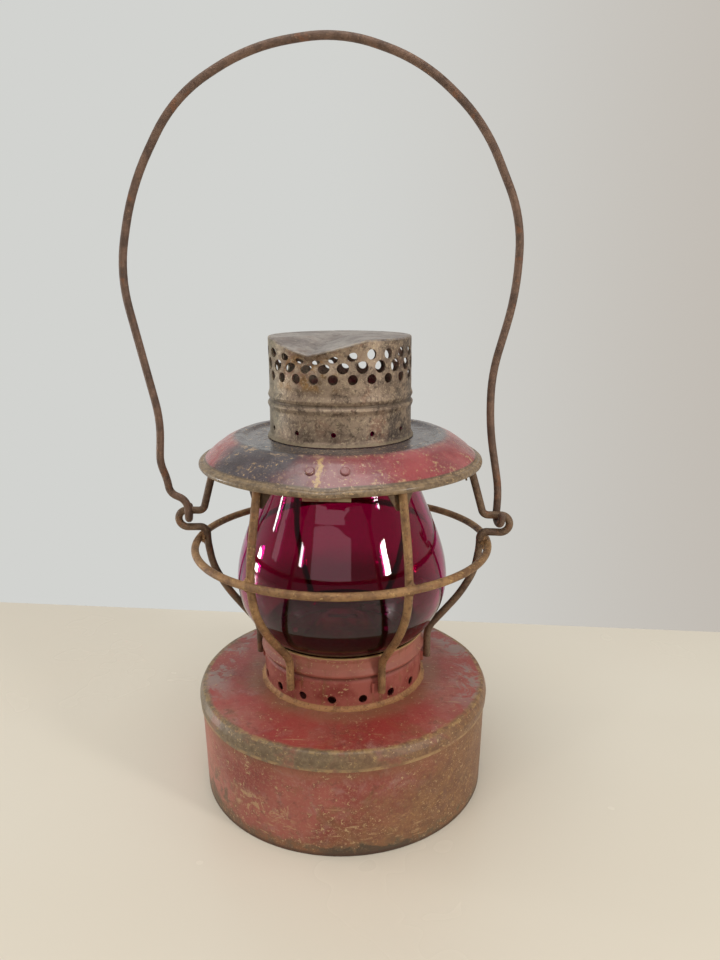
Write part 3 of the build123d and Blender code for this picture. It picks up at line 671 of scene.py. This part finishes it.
def bend_chimney(point):
    """The dent pushes the wall in below the top's edge and takes the top down."""
    low = CHIMNEY_TOP - DENT_FLOOR
    up = min(max((point.z - low) / DENT_FLOOR, 0.0), 1.0)
    share = smooth(point.z, low, CHIMNEY_TOP)
    depth = dent_depth(point)
    push = 0.45 * depth * sin(pi * up) + 0.18 * depth * share
    free = smooth(point.z, CHIMNEY_FOOT + 2 * MM, CHIMNEY_CRIMP + 1.2 * MM)
    wobble = 0.35 * MM * lumps(point, 22 * MM, 4) * free
    moved = radial(point, -push + wobble - 0.1 * MM)
    moved.z -= depth * share
    if radius_of(point) < CHIMNEY_RADIUS - 2 * MM and point.z > CHIMNEY_TOP - 3 * MM:
        moved.z -= 0.35 * MM * (0.5 + 0.5 * lumps(point, 11 * MM, 2))
    return moved


def bend_hood(point):
    """The rim waves a little, and dips over the catch."""
    outer = smooth(radius_of(point), HOOD_CREASE + 1.7 * MM, HOOD_RIM + 1.6 * MM)
    dip = 0.9 * MM * exp(-(((azimuth_of(point) + 1.0) / 7.0) ** 2)) * outer
    wave = 0.45 * MM * lumps(point, 45 * MM, 7) * outer
    fine = 0.12 * MM * lumps(point, 9 * MM, 5) * smooth(radius_of(point), 45 * MM, 55 * MM)
    moved = point.copy()
    moved.z += wave + fine - dip
    return moved


def bend_base(point):
    """Shallow dents in the wall, none at its foot."""
    up = smooth(point.z, 0.0, 20 * MM)
    dents = 0.30 * MM * lumps(point, 38 * MM, 11) + 0.08 * MM * lumps(point, 10 * MM, 6)
    return radial(point, up * (dents - 0.1 * MM))


def bend_lid(point):
    """The wall's dents, and a gentle wave on top."""
    moved = bend_base(point)
    moved.z += 0.35 * MM * lumps(point, 30 * MM, 8) * smooth(radius_of(point), 48 * MM, 56 * MM)
    return moved


def bend_solder(point):
    """Lumps on the outside and the top of the fillet."""
    ragged = 0.35 * MM * lumps(point, 3.4 * MM, 9) + 0.18 * MM * lumps(point, 1.4 * MM, 3) - 0.25 * MM
    moved = radial(point, ragged * smooth(radius_of(point), COLLAR_RADIUS, COLLAR_RADIUS + 1.1 * MM))
    moved.z += 0.5 * ragged * smooth(point.z, BASE_TOP + 0.1 * MM, BASE_TOP + 1.1 * MM)
    return moved


base_wall = bent_copy("base_drum", "worn_base_wall", 5 * MM, bend_base, "lantern")
base_lid = bent_copy("base_top", "worn_base_top", 5 * MM, bend_lid, "lantern")
foot_solder = bent_copy("collar_solder", "lumpy_collar_solder", 1.2 * MM, bend_solder, "lantern")
brim = bent_copy("hood_brim", "worn_hood_brim", 4 * MM, bend_hood, "hood")
tube = bent_copy("chimney_tube", "dented_chimney_tube", 2.5 * MM, bend_chimney, "hood")
cap = bent_copy("chimney_cap", "dented_chimney_cap", 1.2 * MM, bend_chimney, "hood", sharp=50)


# ---------------------------------------------------------------- solder where the ring meets the wires
def solder_blobs():
    """Six ragged webs of solder between the guard ring and the wires behind it."""
    low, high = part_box("guard_ring")
    height = (low.z + high.z) / 2
    wire = (high.z - low.z) / 2
    ring = high.x - wire
    mesh_data = bmesh.new()
    for number, azimuth in enumerate((-150, -90, -30, 30, 90, 150)):
        turn = radians(azimuth)
        outward = Vector((sin(turn), -cos(turn), 0.0))
        across = Vector((cos(turn), sin(turn), 0.0))
        centre = outward * (ring - wire) + Vector((0.0, 0.0, height))
        made = bmesh.ops.create_icosphere(mesh_data, subdivisions=4, radius=1.0)
        for vertex in made["verts"]:
            unit = vertex.co.normalized()
            swell = 1 + 0.22 * noise.noise(unit * 1.7 + Vector((number, 0, 0)))
            swell += 0.10 * noise.noise(unit * 4.6 + Vector((0, number, 0)))
            web = 1.0 - 0.42 * (abs(unit.x) * abs(unit.z)) ** 0.5 * 2
            size = Vector((2.5 * wire, 1.45 * wire, 2.2 * wire)) * swell * max(web, 0.35)
            vertex.co = centre + across * unit.x * size.x + outward * unit.y * size.y
            vertex.co.z += unit.z * size.z
    for face in mesh_data.faces:
        face.smooth = True
    return piece_from(mesh_data, "ring_solder", "lantern")


# ---------------------------------------------------------------- the woven wick
def flattened(value, power):
    """Brings a sine or cosine nearer to -1 or 1, so that a circle becomes a rounded rectangle."""
    return abs(value) ** power * (1 if value > 0 else -1)


def woven_wick():
    """A flat braid with a charred, uneven top."""
    low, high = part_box("wick")
    centre = (low + high) / 2
    half_width = (high.x - low.x) / 2
    half_depth = (high.y - low.y) / 2
    around, up = 72, 220
    strands = 14
    plait = 1.7 * MM
    mesh_data = bmesh.new()
    rows = []
    for level in range(up + 1):
        z = low.z + (high.z - low.z) * level / up
        row = []
        for spoke in range(around):
            angle = 2 * pi * spoke / around
            x = flattened(cos(angle), 0.35)
            y = flattened(sin(angle), 0.55)
            across = x * strands * pi / 2
            along = 2 * pi * z / plait
            weave = sin(across + along) * sin(across - along)
            shrink = 0.93 + 0.07 * weave
            top = smooth(z, high.z - 3 * MM, high.z)
            fray = 1 - 0.12 * top * (1 + noise.noise(Vector((x * 4, y * 3, 1.0))))
            drop = top * 0.9 * MM * (1 + noise.noise(Vector((x * 5, y * 2, 7.0))))
            place = (x * half_width * 0.985 * fray, y * half_depth * shrink * fray, z - drop)
            row.append(mesh_data.verts.new(place))
        rows.append(row)
    for below, above in zip(rows, rows[1:]):
        for spoke in range(around):
            after = (spoke + 1) % around
            mesh_data.faces.new((below[spoke], below[after], above[after], above[spoke]))
    mesh_data.faces.new(rows[0][::-1])
    mesh_data.faces.new(rows[-1])
    for face in mesh_data.faces:
        face.smooth = len(face.verts) == 4
    mesh_data.transform(Matrix.Translation((centre.x, centre.y, 0.0)))
    piece = piece_from(mesh_data, "woven_wick", "wick")
    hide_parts("wick")
    return piece


blobs = solder_blobs()
wick = woven_wick()

# ---------------------------------------------------------------- materials onto pieces and CAD nodes
cage = wire_material("cage_wire", (164, 126, 84), (120, 88, 60), (214, 180, 118), light_share=0.6)
ears = wire_material("ear_wire", (126, 102, 80), (90, 68, 54), (172, 144, 104))
bail_rust = wire_material("bail_rust", (122, 96, 80), (88, 70, 60), (172, 138, 108))
crown_tin = wire_material(
    "crown_tin", (120, 98, 72), (88, 68, 52), (170, 140, 98), dark_share=0.55, metallic=0.3
)
fittings = fitting_material()
tin = tin_material()
brass = brass_material()
ochre = solder_material()
sooty = chimney_material()
collar_paint = collar_material()
enamel = hood_material()

node_materials = (
    (tin, ("base_bottom", "globe_seat", "globe_holder")),
    (collar_paint, ("collar", "foot_straps")),
    (glass_material(), ("globe",)),
    (cage, ("guard_ring", "guard_upright_front_left", "guard_upright_front_right")),
    (ears, ("guard_upright_back_left", "guard_upright_back_right", "ear_wire_left", "ear_wire_right")),
    (crown_tin, ("crown_ring", "wire_tabs", "crown_catch")),
    (fittings, ("hinge_lugs", "hinge_pin", "hinge_leaf", "latch_plate")),
    (enamel, ("latch_rivets", "hinge_rivets")),
    (bail_rust, ("bail",)),
    (brass, ("burner_neck", "burner_body", "burner_cone", "wick_tube")),
    (brass, ("wick_shaft", "wick_stars", "wick_knob")),
)
for material, nodes in node_materials:
    for node in nodes:
        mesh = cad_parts[node].data
        mesh.materials.clear()
        mesh.materials.append(material)

piece_materials = (
    (base_wall, base_wall_material(), "base_paint"),
    (base_lid, base_top_material(), "base_paint"),
    (foot_solder, ochre, "solder"),
    (brim, enamel, "hood_paint"),
    (tube, sooty, "sooty_tin"),
    (cap, cap_material(), "sooty_tin"),
    (blobs, cage, "solder"),
    (wick, cotton_material(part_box("wick")[1].z), "wick_cotton"),
)
for piece, material, slot in piece_materials:
    piece.data.materials.clear()
    piece.data.materials.append(material)


# ---------------------------------------------------------------- floor, light and camera
def floor_material():
    surface = Surface("pale_floor")
    surface.coat(surface.noise(0.5, 3), colour(226, 222, 210), colour(220, 209, 190))
    roughness = surface.between(surface.noise(0.2, 4), 0.2, 0.32)
    return surface.finish(roughness, Specular_IOR_Level=0.35)


def make_floor():
    """A pale glossy table whose far edge runs a little behind the lantern."""
    side, front = 2.4, -2.2
    back_right, back_left = 0.096, 0.274
    corners = ((-side, front), (side, front), (side, back_right), (-side, back_left))
    mesh = bpy.data.meshes.new("table")
    mesh.from_pydata([(x, y, -0.2 * MM) for x, y in corners], [], [(0, 1, 2, 3)])
    table = bpy.data.objects.new("table", mesh)
    bpy.context.scene.collection.objects.link(table)
    mesh.materials.append(floor_material())


def area_light(name, place, target, width, height, power):
    data = bpy.data.lights.new(name, "AREA")
    data.shape = "RECTANGLE"
    data.size = width
    data.size_y = height
    data.energy = power
    data.color = DAYLIGHT
    light = bpy.data.objects.new(name, data)
    light.location = place
    toward = Vector(target) - Vector(place)
    light.rotation_euler = toward.to_track_quat("-Z", "Y").to_euler()
    bpy.context.scene.collection.objects.link(light)


def make_world():
    """A pale wall behind the lantern and a dimmer room in front of it."""
    world = bpy.data.worlds.new("room")
    bpy.context.scene.world = world
    world.use_nodes = True
    nodes, links = world.node_tree.nodes, world.node_tree.links
    place = nodes.new("ShaderNodeTexCoord")
    split = nodes.new("ShaderNodeSeparateXYZ")
    links.new(place.outputs["Generated"], split.inputs[0])

    def fade(along, low, high):
        """A mix of two colours that goes over from the first to the second between low and high."""
        ramp = nodes.new("ShaderNodeMapRange")
        ramp.interpolation_type = "SMOOTHSTEP"
        ramp.inputs["From Min"].default_value = low
        ramp.inputs["From Max"].default_value = high
        links.new(split.outputs[along], ramp.inputs["Value"])
        blend = nodes.new("ShaderNodeMix")
        blend.data_type = "RGBA"
        links.new(ramp.outputs["Result"], blend.inputs["Factor"])
        return blend

    wall = fade("X", -0.15, 0.50)
    wall.inputs["A"].default_value = colour(210, 211, 208)
    wall.inputs["B"].default_value = colour(192, 185, 176)
    room = fade("Y", -0.45, 0.55)
    room.inputs["A"].default_value = colour(120, 116, 112)
    links.new(wall.outputs["Result"], room.inputs["B"])
    background = nodes["Background"]
    background.inputs["Strength"].default_value = 1.0
    links.new(room.outputs["Result"], background.inputs["Color"])


def make_camera():
    """The viewing angle: a little to the lantern's right, above it and close."""
    azimuth = radians(5.5)
    distance = 0.3709
    height = 0.2592
    pitch = radians(14.79)
    yaw = radians(1.46)
    roll = radians(-0.27)
    data = bpy.data.cameras.new("camera")
    data.sensor_width = 36.0
    data.lens = 28.5
    data.clip_start = 0.01
    camera = bpy.data.objects.new("camera", data)
    place = Matrix.Translation((sin(azimuth) * distance, -cos(azimuth) * distance, height))
    heading = Matrix.Rotation(azimuth - yaw, 4, "Z")
    tilt = Matrix.Rotation(pi / 2 - pitch, 4, "X")
    camera.matrix_world = place @ heading @ tilt @ Matrix.Rotation(roll, 4, "Z")
    bpy.context.scene.collection.objects.link(camera)
    bpy.context.scene.camera = camera


# name, azimuth and elevation in degrees, distance, width and height in metres, power in watts
LIGHTS = (
    ("ceiling", -10, 74, 1.25, 1.10, 0.95, 10.5),
    ("tall_window", 55.5, 13.8, 1.2, 0.15, 0.26, 4.6),
    ("side_window", -98, -0.5, 1.2, 0.11, 0.19, 3.0),
    ("side_window_top", -88, 13, 1.2, 0.05, 0.08, 0.35),
    ("small_window", -42, 16, 1.2, 0.06, 0.15, 0.7),
    ("pale_panel", -7, 18, 1.5, 1.20, 0.46, 1.6),
    ("pale_strip", -75, 12, 1.2, 0.17, 0.21, 0.12),
)
DAYLIGHT = (1.0, 0.98, 0.95)
middle = Vector((0.0, 0.0, 130 * MM))

make_floor()
make_world()
for name, azimuth, elevation, distance, width, height, power in LIGHTS:
    turn, tilt = radians(azimuth), radians(elevation)
    out = Vector((sin(turn) * cos(tilt), -cos(turn) * cos(tilt), sin(tilt)))
    area_light(name, middle + out * distance, middle, width, height, power)
make_camera()
bpy.context.scene.view_settings.view_transform = "Standard"
